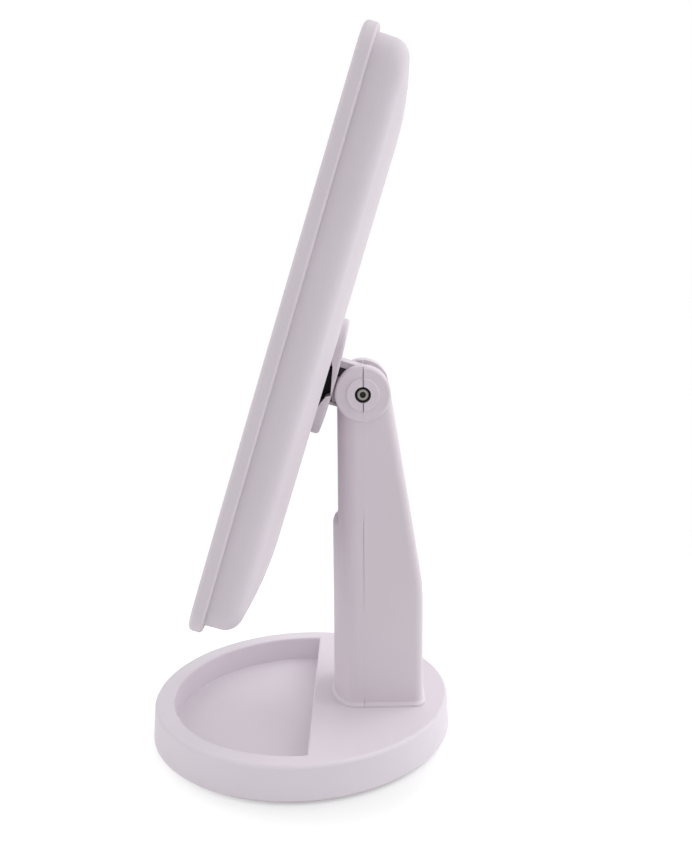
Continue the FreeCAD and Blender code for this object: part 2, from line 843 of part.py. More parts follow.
# battery door: cut out of the rear wall, resting on a ledge all round
door_low = base_top + S.door_low
door_high = base_top + S.door_high
door_half = S.door_half_width
bay_y = (hinge_back + S.cell_pitch_back, far)
opening = box("door_opening", (-door_half, door_half), bay_y, (door_low, door_high))
gap = S.door_gap
door_block = box(
    "door_block", (gap - door_half, door_half - gap), bay_y, (door_low + gap, door_high - gap))
door_void = column_form("door_void", S.skin - S.seat_gap / 2, floor_z, void_top)
door_plate = common("door_plate", cut("door_wall", column, door_void), door_block)
grip_top = door_high - S.grip_drop
panel_lean = math.degrees(math.atan2(
    S.rear_depth.value - S.ear_radius.value * S.taper_share.value, hinge_z.value - bend_z.value))
lean_rate = (S.rear_depth - S.ear_radius * S.taper_share) / (hinge_z - bend_z)


def rear_wall(level):
    """Where the outer rear wall lies at a height on its sloping part."""
    return hinge_back + S.rear_depth - lean_rate * (level - bend_z)


def panel_place(level):
    return Placement(
        Vector(0, rear_wall(level).value, level.value), Rotation(Vector(1, 0, 0), panel_lean))


grip_cut = box(
    "grip_cut",
    (-S.grip_half_width, S.grip_half_width), (-S.grip_deep, S.overrun), (-S.grip_height, ZERO))
rib_step = S.grip_height / 4
ribs = [
    box(
        f"grip_rib_{k}",
        (S.grip_deep - S.grip_half_width, S.grip_half_width - S.grip_deep),
        (-S.grip_deep - S.grip_deep / 4, -S.grip_deep / 4),
        (-S.grip_height + rib_step * k - rib_step / 5, -S.grip_height + rib_step * k + rib_step / 5),
    )
    for k in (1, 2, 3)
]
grip_space = cut("grip_space", grip_cut, *ribs)
grip_space.Placement = panel_place(grip_top)
door = cut("battery_door", door_plate, grip_space)
piece(door)

layer_void = column_form("layer_void", S.skin + S.ledge_thick, floor_z, void_top - S.skin)
ledge_block = box(
    "ledge_block", (-door_half - S.ledge, door_half + S.ledge), bay_y,
    (door_low - S.ledge, door_high + S.ledge))
ledge_window = box(
    "ledge_window", (S.ledge - door_half, door_half - S.ledge), bay_y,
    (door_low + S.ledge, door_high - S.ledge))
ledge_wall = cut("ledge_wall", door_void, layer_void, ledge_window)
ledge_ring = common("ledge_ring", ledge_wall, ledge_block)
ledge_kept = cut("ledge_kept", ledge_ring, common("ledge_front", door_void, opening, cut(
    "ledge_outer", door_void, void)))

# power board, socket and switch stand behind the sloping part of the rear wall
panel_z = (door_high + S.ledge + slot_floor - S.skin) / 2
PANEL_PLACE = panel_place(panel_z)
board_front = -(S.skin + S.board_stand)
board_rear = board_front - S.board_thick
usb_z = -S.usb_drop
switch_z = S.switch_up
half_usb = S.usb_width / 2
usb_tall = S.usb_height / 2
hole_gap = S.usb_hole_gap
usb_hole = box(
    "usb_hole", (-half_usb - hole_gap, half_usb + hole_gap), (board_front, S.overrun),
    (usb_z - usb_tall - hole_gap, usb_z + usb_tall + hole_gap))
knob_half = S.knob_width / 2
knob_tall = S.knob_height / 2
travel = S.switch_travel
knob_hole = box(
    "knob_hole", (-knob_half - S.knob_gap, knob_half + S.knob_gap), (board_front, S.overrun),
    (switch_z - knob_tall - travel / 2 - S.knob_gap, switch_z + knob_tall + travel / 2 + S.knob_gap))
board_spots = [(side * S.board_boss_side, S.board_boss_up * up) for side in (-1, 1) for up in (-1, 1)]
board_bosses = [
    rod(f"board_boss_{k}", S.board_boss_radius, "y", (board_front, -S.skin / 2), x, ZERO, z)
    for k, (x, z) in enumerate(board_spots)
]
board_pilots = [
    rod(f"board_pilot_{k}", pilot_radius, "y", (board_front - S.overrun, -S.skin / 2), x, ZERO, z)
    for k, (x, z) in enumerate(board_spots)
]
panel_bosses = fuse("panel_bosses", *board_bosses)
panel_bosses.Placement = PANEL_PLACE
scoop_side = knob_half + S.scoop_margin
scoop_tall = knob_tall + travel / 2 + S.scoop_margin
scoop = box(
    "knob_scoop", (-scoop_side, scoop_side), (-S.scoop_deep, S.overrun),
    (switch_z - scoop_tall, switch_z + scoop_tall))
panel_holes = fuse("panel_holes", usb_hole, knob_hole, scoop, *board_pilots)
panel_holes.Placement = PANEL_PLACE

front_shell = cut("column_front_shell", fuse(
    "front_joined", cut("front_part", hollow, rear_half), front_bosses), *pilots)
piece(front_shell)
rear_body = cut("rear_part", hollow, front_half, opening)
rear_shell = cut("column_rear_shell", fuse(
    "rear_joined", rear_body, rear_bosses, ledge_kept, panel_bosses), panel_holes, *pilots)
piece(rear_shell)

piece(group("column_foot_screws", [
    screw(f"foot_screw_{k}", "z", base_top - S.skin, 1, S.skin + S.skin + S.foot_boss_rise, x, y)
    for k, (x, y) in enumerate(foot_spots, 1)
]))
column_bite = head_y - front_y - S.skin - S.seat_gap
piece(group("column_screws", [
    screw(f"column_screw_{k}", "y", head_y, -1, column_bite, x, ZERO, column_screw_z)
    for k, x in enumerate(column_spots, 1)
]))

board_plate = box(
    "board_plate", (-S.board_half_width, S.board_half_width), (board_rear, board_front),
    (-S.board_half_height, S.board_half_height))
board_holes = [
    rod(f"board_hole_{k}", pilot_radius, "y", (board_rear - S.overrun, board_front + S.overrun), x, ZERO, z)
    for k, (x, z) in enumerate(board_spots)
]
piece(cut("power_board", board_plate, *board_holes), PANEL_PLACE)
piece(group("board_screws", [
    screw(f"board_screw_{k}", "y", board_rear, 1, S.board_thick + S.board_stand, x, ZERO, z)
    for k, (x, z) in enumerate(board_spots, 1)
]), PANEL_PLACE)

# socket: folded shell with a tongue inside
wall = S.usb_wall
usb_outer = box(
    "usb_outer", (-half_usb, half_usb), (board_front, -S.usb_back), (usb_z - usb_tall, usb_z + usb_tall))
usb_inner = box(
    "usb_inner", (wall - half_usb, half_usb - wall), (board_front + 2 * wall, ZERO),
    (usb_z - usb_tall + wall, usb_z + usb_tall - wall))
usb_tongue = box(
    "usb_tongue", (2 * wall - half_usb, half_usb - 2 * wall), (board_front + wall, -S.usb_back - 2 * wall),
    (usb_z - S.usb_height * S.tongue_share / 2, usb_z + S.usb_height * S.tongue_share / 2))
piece(fuse("usb_socket", cut("usb_shell", usb_outer, usb_inner), usb_tongue), PANEL_PLACE)

# switch: housing on the board, slider with a knob through the wall
half_switch = S.switch_body_width / 2
tall_switch = S.switch_body_height / 2
switch_face = -S.skin - S.knob_gap
switch_block = box(
    "switch_block", (-half_switch, half_switch), (board_front, switch_face),
    (switch_z - tall_switch, switch_z + tall_switch))
switch_track = box(
    "switch_track", (-knob_half - S.knob_gap, knob_half + S.knob_gap),
    (switch_face - S.board_stand / 3, ZERO),
    (switch_z - knob_tall - travel / 2 - S.knob_gap, switch_z + knob_tall + travel / 2 + S.knob_gap))
piece(cut("switch_body", switch_block, switch_track), PANEL_PLACE)
knob_z = switch_z - travel / 2
knob_block = box(
    "knob_block", (-knob_half, knob_half),
    (switch_face - S.board_stand / 3 + S.seat_gap / 2, -S.knob_sunk),
    (knob_z - knob_tall, knob_z + knob_tall))
knob_grooves = [
    box(
        f"knob_groove_{k}", (-knob_half - S.overrun, knob_half + S.overrun),
        (-S.knob_sunk - S.knob_groove, S.overrun),
        (knob_z + S.knob_height * (k - 2) / 4 - S.knob_height / 16,
         knob_z + S.knob_height * (k - 2) / 4 + S.knob_height / 16))
    for k in (1, 2, 3)
]
piece(cut("switch_slider", knob_block, *knob_grooves), PANEL_PLACE)

# Battery case, cells and contacts
bay_floor = boss_top
case_floor = bay_floor + S.case_plate
case_roof = case_floor + S.leaf_rise + S.cell_long + S.nub_long + S.plate_contact
case_top = case_roof + S.case_plate
front_row = hinge_back - S.cell_front
rear_row = front_row + S.cell_pitch_back
half_case = S.case_half_width
case_y = (hinge_back - S.case_front, hinge_back + S.case_rear)
spine_y = (hinge_back - S.spine_front, hinge_back - S.spine_rear)
tie_y = (hinge_back - S.spine_front, hinge_back - S.case_front + S.spine_half)
spine_x = (-S.spine_half, S.spine_half)
piece(fuse(
    "battery_case",
    box("case_low", (-half_case, half_case), case_y, (bay_floor, case_floor)),
    box("case_high", (-half_case, half_case), case_y, (case_roof, case_top)),
    box("case_tie_low", spine_x, tie_y, (bay_floor, case_floor)),
    box("case_tie_high", spine_x, tie_y, (case_roof, case_top)),
    box("case_spine", spine_x, spine_y, (bay_floor, case_top)),
))
cells = []
leaves = []
plates = []
for k, (side, y, up) in enumerate((
        (-1, front_row, True), (1, front_row, False), (-1, rear_row, False), (1, rear_row, True)), 1):
    x = side * S.cell_pitch_side / 2
    if up:
        can = (case_floor + S.leaf_rise, case_floor + S.leaf_rise + S.cell_long)
        nub = (can[1] - S.nub_long, can[1] + S.nub_long)
        plate = (case_roof - S.plate_contact, case_roof)
    else:
        can = (case_roof - S.leaf_rise - S.cell_long, case_roof - S.leaf_rise)
        nub = (can[0] - S.nub_long, can[0] + S.nub_long)
        plate = (case_floor, case_floor + S.plate_contact)
    cells.append(fuse(
        f"cell_{k}",
        rod(f"cell_can_{k}", S.cell_radius, "z", can, x, y),
        rod(f"cell_nub_{k}", S.nub_radius, "z", nub, x, y)))
    half_leaf = S.leaf_wide / 2
    plates.append(box(
        f"plate_{k}", (x - half_leaf, x + half_leaf), (y - half_leaf, y + half_leaf), plate))
    leaf = new_body(f"leaf_{k}")
    sketch = new_sketch(leaf, "YZ_Plane", across=y, along=case_floor if up else case_roof, offset=x)
    long = S.leaf_long / 2
    rise = S.leaf_rise if up else -S.leaf_rise
    thick = S.leaf_thick if up else -S.leaf_thick
    draw_polygon(sketch, [
        (-long, ZERO),
        (long, ZERO),
        (long, thick),
        (S.leaf_thick * 2 - long, thick),
        (ZERO, rise - thick),
        (long * S.leaf_top_share, rise - thick),
        (long * S.leaf_top_share, rise),
        (-long * S.leaf_bend_share, rise),
        (-long, thick + thick / 2),
    ])
    pad(leaf, sketch, S.leaf_wide, midplane=True)
    leaves.append(leaf)
piece(group("battery_cells", cells))
piece(group("battery_leaf_contacts", leaves))
piece(group("battery_plate_contacts", plates))

# Hinge pin, clips and friction washers on the stand
pin_end = boss_face - S.pin_below
pin = new_body("hinge_pin")
sketch = new_sketch(pin, "YZ_Plane", across=hinge_back, along=hinge_z)
draw_circle(sketch, S.pin_radius)
pad(pin, sketch, 2 * pin_end, midplane=True)
for side in (-1, 1):
    sketch = new_sketch(pin, "YZ_Plane", across=hinge_back, along=hinge_z, offset=side * pin_end)
    draw_circle(sketch, S.pin_socket_radius)
    pocket(pin, sketch, S.pin_socket_deep, back=side < 0)
piece(pin)
clips = []
washers = []
for side in (-1, 1):
    name = "left" if side < 0 else "right"
    low = boss_face - S.bore_deep
    spans = {"clip": (low, low + S.clip_thick), "washer": (
        S.knuckle_width / 2 + S.pin_play, S.knuckle_width / 2 + S.pin_play + S.washer_thick)}
    radii = {"clip": S.bore_radius - S.pin_play, "washer": S.washer_radius}
    for kind, (near, out) in spans.items():
        ring = new_body(f"{kind}_{name}")
        sketch = new_sketch(ring, "YZ_Plane", across=hinge_back, along=hinge_z, offset=side * near)
        draw_circle(sketch, radii[kind])
        draw_circle(sketch, S.pin_radius + S.pin_play)
        pad(ring, sketch, out - near, back=side < 0)
        (clips if kind == "clip" else washers).append(ring)
piece(group("hinge_pin_clips", clips))
piece(group("hinge_washers", washers))


# Mirror head, drawn upright with the hinge axis at the origin; depths run back from the bezel's front
def head_sketch(body, depth):
    return new_sketch(body, "XZ_Plane", along=S.axis_below, offset=axis_depth - depth)


def slab(body, inset, front, rear, hole=None):
    sketch = head_sketch(body, rear)
    draw_outline(sketch, inset)
    if hole is not None:
        draw_outline(sketch, hole)
    pad(body, sketch, rear - front)


def groove(body, inset, front, rear, island=None):
    sketch = head_sketch(body, front)
    draw_outline(sketch, inset)
    if island is not None:
        draw_outline(sketch, island)
    pocket(body, sketch, rear - front)


def at_depth(depth):
    return lies_at("Y", depth.value - axis_depth.value)


diffuser_front = S.lip_thick
diffuser_rear = diffuser_front + S.diffuser_thick
flange_rear = diffuser_rear + S.frame_flange
glass_rear = diffuser_front + S.glass_thick
inside = S.bezel_wall + S.seat_gap
shell_inner = S.shell_inset + S.skin
channel_out = shell_inner + S.seat_gap + S.seat_gap + S.channel_wall
rib_out = S.glass_inset - S.seat_gap
channel_in = rib_out - S.channel_wall - S.seat_gap
channel_floor = diffuser_rear + S.channel_deep
frame_rear = channel_floor + S.channel_wall

bezel = new_body("front_bezel")
slab(bezel, ZERO, ZERO, S.bezel_thick)
round_edges(bezel, S.bezel_front_round, at_depth(ZERO))
bevel_edges(bezel, S.bezel_rear_bevel, at_depth(S.bezel_thick))
groove(bezel, S.bezel_wall, S.lip_thick, S.bezel_thick)
groove(bezel, S.bezel_lip, ZERO, S.bezel_thick)
piece(bezel, HEAD_PLACE)

ring = new_body("light_diffuser")
slab(ring, inside, diffuser_front, diffuser_rear, hole=rib_out)
piece(ring, HEAD_PLACE)

glass = new_body("mirror_glass")
slab(glass, S.glass_inset, diffuser_front, glass_rear)
piece(glass, HEAD_PLACE)

frame = new_body("reflector_frame")
slab(frame, inside, diffuser_rear, flange_rear)
slab(frame, shell_inner + S.seat_gap, diffuser_rear, frame_rear)
groove(frame, channel_out, diffuser_rear, channel_floor, island=channel_in)
groove(frame, rib_out, diffuser_rear, glass_rear)
groove(frame, rib_out, glass_rear + S.frame_plate, frame_rear)
touch_z = S.axis_below - S.head_height / 2 + S.glass_inset + S.touch_up
half_touch = S.touch_width / 2
sketch = new_sketch(frame, "XZ_Plane", offset=axis_depth - glass_rear)
play = S.seat_gap
draw_polygon(sketch, [
    (-half_touch - play, touch_z - play),
    (half_touch + play, touch_z - play),
    (half_touch + play, touch_z + S.touch_height + play),
    (-half_touch - play, touch_z + S.touch_height + play),
])
pocket(frame, sketch, S.touch_thick)
piece(frame, HEAD_PLACE)

touch_y = glass_rear - axis_depth
piece(group("touch_board", [box(
    "touch_plate", (-half_touch, half_touch), (touch_y, touch_y + S.touch_thick),
    (touch_z, touch_z + S.touch_height))]), HEAD_PLACE)

board = new_body("led_board")
slab(
    board, channel_out + S.seat_gap, channel_floor - S.led_board_thick, channel_floor,
    hole=channel_in - S.seat_gap)
piece(board, HEAD_PLACE)

# LEDs along the middle of the board
led_inset = (channel_out + channel_in) / 2
led_rear = channel_floor - S.led_board_thick
led_y = (led_rear - S.led_tall - axis_depth, led_rear - axis_depth)
leds = []
side_reach = S.head_height / 2 - led_inset - S.head_corner
end_reach = S.head_width / 2 - led_inset - S.head_corner


def bowed(half, radius, along):
    """How far out the bowed edge lies at a distance along it."""
    sag = radius.value - math.sqrt(radius.value ** 2 - along.value ** 2)
    return half - size(round(sag, 4))


for k in range(LEDS_PER_SIDE):
    share = 2 * k / (LEDS_PER_SIDE - 1) - 1
    up = side_reach * share
    out = bowed(S.head_width / 2 - led_inset, S.side_bow_radius - led_inset, up)
    for side in (-1, 1):
        x = side * out
        z = S.axis_below + up
        leds.append(box(
            f"led_side_{len(leds)}", (x - S.led_wide / 2, x + S.led_wide / 2), led_y,
            (z - S.led_long / 2, z + S.led_long / 2)))
for k in range(LEDS_PER_END):
    share = 2 * k / (LEDS_PER_END - 1) - 1
    x = end_reach * share
    out = bowed(S.head_height / 2 - led_inset, S.end_bow_radius - led_inset, x)
    for side in (-1, 1):
        z = S.axis_below + side * out
        leds.append(box(
            f"led_end_{len(leds)}", (x - S.led_long / 2, x + S.led_long / 2), led_y,
            (z - S.led_wide / 2, z + S.led_wide / 2)))
piece(group("leds", leds), HEAD_PLACE)


# Rear shell: a dished moulding with a flange that sits inside the bezel
def loft(body, sections):
    """Join outlines of the head, each given by its inset and depth."""
    sketches = []
    for inset, depth in sections:
        sketch = head_sketch(body, depth)
        draw_outline(sketch, inset)
        sketches.append(sketch)
    feature = body.newObject("PartDesign::AdditiveLoft", f"{body.Label}_loft")
    feature.Profile = sketches[0]
    feature.Sections = sketches[1:]
    feature.Ruled = True
    return finish_feature(body, feature)


# The back falls away towards the rim on a slope, with a long curve where it leaves the flat
slope = math.atan2(S.shell_slope_deep.value, S.shell_slope_in.value)
back_end = S.shell_slope_in + S.shell_back_round * math.tan(slope / 2)
sections = [(ZERO, S.shell_slope_deep)]
for share in BACK_SHARES:
    turn = slope * share
    sections.append((
        back_end - S.shell_back_round * math.sin(turn), S.shell_back_round * (1 - math.cos(turn))))
shell = new_body("shell_outer")
shell_crest = S.head_thick - S.shell_slope_deep
slab(shell, S.shell_inset, flange_rear, shell_crest)
loft(shell, [(S.shell_inset + across, S.head_thick - down) for across, down in sections])
round_edges(shell, S.shell_edge_round, at_depth(shell_crest))
slab(shell, inside, flange_rear, S.bezel_thick)
shell_void = new_body("shell_void")
void_rear = S.head_thick - S.skin
void_crest = void_rear - S.shell_slope_deep - S.shell_edge_round / 2
slab(shell_void, shell_inner, flange_rear - S.overrun, void_crest)
loft(shell_void, [(shell_inner, void_crest), (shell_inner + S.shell_slope_in, void_rear)])
back_y = S.head_thick - axis_depth
plate_y = back_y + S.foot_plate
upper_z = S.knuckle_radius + S.foot_plate_up / 2
lower_z = -S.knuckle_radius - S.foot_plate_down / 2
pad_spots = [(side * S.pad_screw_side, z) for side in (-1, 1) for z in (upper_z, lower_z)]
pad_holes = [
    rod(f"pad_hole_{k}", pilot_radius, "y", (back_y - 2 * S.skin, back_y + S.overrun), x, ZERO, z)
    for k, (x, z) in enumerate(pad_spots)
]
piece(cut("rear_shell", shell, shell_void, *pad_holes), HEAD_PLACE)

# Pad on the back: hollow cover with a window for the knuckle and side cut-outs
pad_rear = back_y + S.pad_thick
cover = new_body("pad_outer")


def rounded_block(body, half_w, low, high, corner, at, length):
    sketch = new_sketch(body, "XZ_Plane", offset=-at)
    draw_polygon(sketch, [(-half_w, low), (half_w, low), (half_w, high), (-half_w, high)])
    pad(body, sketch, length, back=False)
    round_edges(body, corner, lambda edge: edge.BoundBox.YMax - edge.BoundBox.YMin > NEAR)


rounded_block(cover, S.pad_width / 2, -S.pad_down, S.pad_up, S.pad_corner, pad_rear, S.pad_thick)
bow_y = pad_rear - S.pad_bow_radius
bow_reach = S.pad_bow_radius + S.overrun
sketch = new_sketch(cover, "YZ_Plane")
draw_polygon(sketch, [
    (bow_y - bow_reach, -S.pad_crest - bow_reach),
    (bow_y + bow_reach, -S.pad_crest - bow_reach),
    (bow_y + bow_reach, bow_reach - S.pad_crest),
    (bow_y - bow_reach, bow_reach - S.pad_crest),
])
draw_circle(sketch, S.pad_bow_radius, bow_y, -S.pad_crest)
pocket(cover, sketch, 2 * S.pad_width, midplane=True)


def on_pad_back(edge):
    """Edges round the bowed back of the pad."""
    reaches = [math.hypot(spot.Y - bow_y.value, spot.Z + S.pad_crest.value) for spot in edge.Vertexes]
    return all(abs(reach - S.pad_bow_radius.value) < NEAR for reach in reaches)


round_edges(cover, S.pad_round, on_pad_back)
pad_void = new_body("pad_void")
w = S.pad_wall
rounded_block(
    pad_void, S.pad_width / 2 - w, w - S.pad_down, S.pad_up - w, S.pad_corner - w,
    plate_y + play, S.pad_thick)
half_knuckle = S.knuckle_width / 2
knuckle_r = S.knuckle_radius
reach_y = (back_y - S.overrun, pad_rear + S.overrun)
window = box(
    "pad_window", (-half_knuckle - play, half_knuckle + play), reach_y, (-knuckle_r - play, knuckle_r + play))
notch_deep = S.pad_thick - S.notch_skin
notch = new_body("pad_notch")
sketch = new_sketch(notch, "YZ_Plane")
draw_polygon(sketch, [
    (back_y - S.overrun, S.notch_up),
    (back_y, S.notch_up),
    (back_y + notch_deep * S.notch_bulge_share, S.notch_bulge),
    (back_y + notch_deep, -S.notch_low),
    (back_y + notch_deep * S.notch_heel_share, -S.notch_heel),
    (back_y, -S.notch_down),
    (back_y - S.overrun, -S.notch_down),
])
pad(notch, sketch, 2 * S.pad_width, midplane=True)
piece(cut("hinge_pad", cover, pad_void, window, notch), HEAD_PLACE)

# Knuckle: barrel, two flanges and screwed feet
web = S.knuckle_web
web_low = S.knuckle_web_low
half_plate = S.foot_plate_width / 2
barrel = rod("barrel", knuckle_r, "x", (-half_knuckle, half_knuckle))
knuckle_x = (-half_knuckle, half_knuckle)
plate_x = (-half_plate, half_plate)
knuckle_solid = fuse(
    "knuckle_solid",
    barrel,
    box("web_high", knuckle_x, (back_y, ZERO), (knuckle_r - web, knuckle_r)),
    box("web_low", knuckle_x, (back_y, ZERO), (-knuckle_r, web_low - knuckle_r)),
    box("plate_high", plate_x, (back_y, plate_y), (knuckle_r - web, knuckle_r + S.foot_plate_up)),
    box("plate_low", plate_x, (back_y, plate_y), (-knuckle_r - S.foot_plate_down, web_low - knuckle_r)),
)
knuckle_bore = rod("knuckle_bore", S.pin_radius + S.pin_play, "x", (-boss_face, boss_face))
knuckle_pilots = [
    rod(f"knuckle_pilot_{k}", pilot_radius, "y", (back_y - S.skin, plate_y + S.overrun), x, ZERO, z)
    for k, (x, z) in enumerate(pad_spots)
]
piece(cut("hinge_knuckle", knuckle_solid, knuckle_bore, *knuckle_pilots), HEAD_PLACE)
core_z = (web_low + play / 2 - knuckle_r, knuckle_r - web - play / 2)
core_x = half_knuckle - play
core_block = box("core_block", (-core_x, core_x), (back_y, -S.pin_radius), core_z)
core_clear = rod("core_clear", knuckle_r + play / 2, "x", (-boss_face, boss_face))
piece(cut("hinge_core", core_block, core_clear), HEAD_PLACE)
piece(group("hinge_pad_screws", [
    screw(f"pad_screw_{k}", "y", back_y - S.skin, 1, S.skin + S.foot_plate, x, ZERO, z)
    for k, (x, z) in enumerate(pad_spots, 1)
]), HEAD_PLACE)

doc.recompute()
for thing, place in PIECES:
    if place is not None:
        thing.Placement = place
doc.recompute()

bad = [f"{thing.Label}: {thing.State}" for thing in doc.Objects if {"Invalid", "Error"} & set(thing.State)]
if bad:
    raise SystemExit(f"not built: {bad}")
os.makedirs("parts", exist_ok=True)
for thing, place in PIECES:
    shape = thing.Shape
    if shape.isNull() or not shape.isValid():
        raise SystemExit(f"{thing.Label}: bad shape")
for thing, place in PIECES:
    thing.Shape.exportStep(f"parts/{thing.Label}.step")
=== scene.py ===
import json
import math

import bmesh
import bpy
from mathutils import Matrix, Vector


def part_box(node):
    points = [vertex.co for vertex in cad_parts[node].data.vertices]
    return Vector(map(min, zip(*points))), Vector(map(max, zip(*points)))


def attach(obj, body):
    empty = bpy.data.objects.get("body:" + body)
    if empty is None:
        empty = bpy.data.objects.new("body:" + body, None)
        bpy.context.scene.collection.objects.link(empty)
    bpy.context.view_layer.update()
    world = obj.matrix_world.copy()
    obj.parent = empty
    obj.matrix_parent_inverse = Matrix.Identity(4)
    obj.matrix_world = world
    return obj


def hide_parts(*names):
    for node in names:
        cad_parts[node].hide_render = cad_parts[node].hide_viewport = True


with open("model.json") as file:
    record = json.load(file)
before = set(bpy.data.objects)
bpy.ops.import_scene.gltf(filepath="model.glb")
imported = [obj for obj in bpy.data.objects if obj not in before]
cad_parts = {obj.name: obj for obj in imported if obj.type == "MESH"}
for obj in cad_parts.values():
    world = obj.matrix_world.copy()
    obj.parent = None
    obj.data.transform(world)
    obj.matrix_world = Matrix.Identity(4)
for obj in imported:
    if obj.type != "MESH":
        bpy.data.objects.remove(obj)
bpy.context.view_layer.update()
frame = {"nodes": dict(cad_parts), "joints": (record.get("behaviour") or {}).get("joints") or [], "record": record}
nodes = frame["nodes"]
joints = {joint["name"]: joint for joint in frame["joints"]}
MM = 0.001

# The photograph: its size in pixels, the pixel that the lens points at, and the lens
PHOTO_WIDE, PHOTO_TALL = 692, 842
LENS_PIXEL = (396.7, 388.4)
FOCAL_PIXELS = 909.2
SENSOR = 36.0
NEAREST_SEEN = 10 * MM
# Where it was taken from, and how far the camera is turned and dipped, in radians
CAMERA_AT = Vector((371.3, 25.6, 195.4)) * MM
CAMERA_TURN = 0.0393
CAMERA_DIP = 0.1354

# Light levels: all of them together show a colour about as it is written
ROOM_LIGHT = 0.3
# Broad lights: where each comes from, its level and how many degrees wide it is
BROAD_LIGHTS = {
    "rear_light": (Vector((-0.2, 1.0, 0.36)), 0.53, 70),
    "rear_top_light": (Vector((0.0, 0.6, 1.0)), 0.28, 60),
    "front_light": (Vector((0.3, -1.0, 0.56)), 0.34, 70),
    "near_side_light": (Vector((1.0, 0.0, 0.36)), 0.075, 30),
    "far_side_light": (Vector((-1.0, 0.0, 1.0)), 0.16, 70),
}
# The paper floor: half its side in metres, its tone where it throws light back on the object, and
# its tone for the eye, which is lower so that the shadow stays soft
FLOOR_HALF = 4.0
PAPER_LIT, PAPER_SEEN = 0.85, 0.55
# The glow that lifts the paper to white for the eye, by the distance from a spot under the base, on
# the side that was photographed: least by the base's edge there, where the contact shadow shows
# The lower glow beside the base on that side paints shade onto the paper, over its real contact shadow
LIFT_CENTRE = Vector((37.0, 13.0, 0.0)) * MM
LIFT_STOPS = ((21 * MM, 0.36), (66 * MM, 0.64), (140 * MM, 0.6), (400 * MM, 0.44))


# Colours and node trees
def colour(text):
    """An sRGB hex value as linear RGBA."""
    channels = [int(text[k:k + 2], 16) / 255 for k in (1, 3, 5)]
    linear = [c / 12.92 if c <= 0.04045 else ((c + 0.055) / 1.055) ** 2.4 for c in channels]
    return (*linear, 1.0)


def add(tree, kind, inputs=None, stops=(), **settings):
    """A node with its settings. An input, named or numbered, is linked or set; stops fill a ramp."""
    node = tree.nodes.new(kind)
    for key, value in settings.items():
        setattr(node, key, value)
    for key, value in (inputs or {}).items():
        if isinstance(value, bpy.types.NodeSocket):
            tree.links.new(value, node.inputs[key])
        else:
            node.inputs[key].default_value = value
    if stops:
        ramp = node.color_ramp.elements
        while len(ramp) < len(stops):
            ramp.new(1.0)
        for stop, (position, tint) in zip(ramp, stops):
            stop.position = position
            stop.color = tint
    return node


# Finishes
def new_material(name, **plain):
    """One shader, with the values that are the same all over set on its own sockets."""
    material = bpy.data.materials.new(name)
    material.use_nodes = True
    tree = material.node_tree
    tree.nodes.clear()
    values = {key.replace("_", " "): value for key, value in plain.items()}
    shader = add(tree, "ShaderNodeBsdfPrincipled", values)
    add(tree, "ShaderNodeOutputMaterial", {"Surface": shader.outputs[0]})
    place = add(tree, "ShaderNodeTexCoord").outputs["Object"]
    return material, tree, shader, place


NOISE_DETAIL = 3.0
GRAIN_BREAKUP = 0.6


def mottled(name, dark, light, blob_mm, grain_mm, relief_mm, rough, along=1.0, **plain):
    """Tint in blobs and relief in grains of real sizes, drawn out along X where along is above 1."""
    material, tree, shader, place = new_material(name, **plain)
    drawn = add(tree, "ShaderNodeMapping", {"Vector": place, "Scale": (1 / along, 1, 1)}).outputs[0]
    blobs = add(
        tree, "ShaderNodeTexNoise",
        {"Vector": drawn, "Scale": 1 / (blob_mm * MM), "Detail": NOISE_DETAIL}).outputs["Fac"]
    grains = add(
        tree, "ShaderNodeTexNoise",
        {"Vector": drawn, "Scale": 1 / (grain_mm * MM), "Detail": NOISE_DETAIL,
         "Roughness": GRAIN_BREAKUP}).outputs["Fac"]
    tint = add(
        tree, "ShaderNodeValToRGB", {"Fac": blobs}, stops=((0.0, colour(dark)), (1.0, colour(light))))
    gloss = add(tree, "ShaderNodeMapRange", {"Value": grains, "To Min": rough[0], "To Max": rough[1]})
    relief = add(tree, "ShaderNodeBump", {"Height": grains, "Strength": 1.0, "Distance": relief_mm * MM})
    tree.links.new(tint.outputs["Color"], shader.inputs["Base Color"])
    tree.links.new(gloss.outputs["Result"], shader.inputs["Roughness"])
    tree.links.new(relief.outputs["Normal"], shader.inputs["Normal"])
    return material


# Copper runs on a board: how long they are, how far apart they lie and how wide they are
RUN_LONG = 6 * MM
RUN_APART = 2.2 * MM
RUN_WIDE = 0.35 * MM


def board_laminate(name, dark, light, copper):
    """Glass-epoxy board under solder mask: glossy, with copper runs showing through as bands."""
    material, tree, shader, place = new_material(name, Roughness=0.32, IOR=1.55)
    runs = add(tree, "ShaderNodeTexBrick", {
        "Vector": place, "Scale": 1.0,
        "Brick Width": RUN_LONG, "Row Height": RUN_APART, "Mortar Size": RUN_WIDE,
        "Color1": colour(dark), "Color2": colour(light), "Mortar": colour(copper)})
    tree.links.new(runs.outputs["Color"], shader.inputs["Base Color"])
    return material


# The jacket's colours, each from a share of the cell's height up
JACKET_BANDS = ((0.0, "#8f9398"), (0.24, "#2f3338"))


def shrink_film():
    """Shrunk film on a battery can: a glossy dark jacket with a pale band at one end."""
    material, tree, shader, place = new_material("shrink_film_jacket", Roughness=0.3, Metallic=0.35)
    low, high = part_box("battery_cells")
    height = add(tree, "ShaderNodeSeparateXYZ", {"Vector": place}).outputs["Z"]
    share = add(tree, "ShaderNodeMapRange", {"Value": height, "From Min": low.z, "From Max": high.z})
    bands = add(
        tree, "ShaderNodeValToRGB", {"Fac": share.outputs["Result"]},
        stops=[(position, colour(tint)) for position, tint in JACKET_BANDS])
    bands.color_ramp.interpolation = "CONSTANT"
    tree.links.new(bands.outputs["Color"], shader.inputs["Base Color"])
    return material
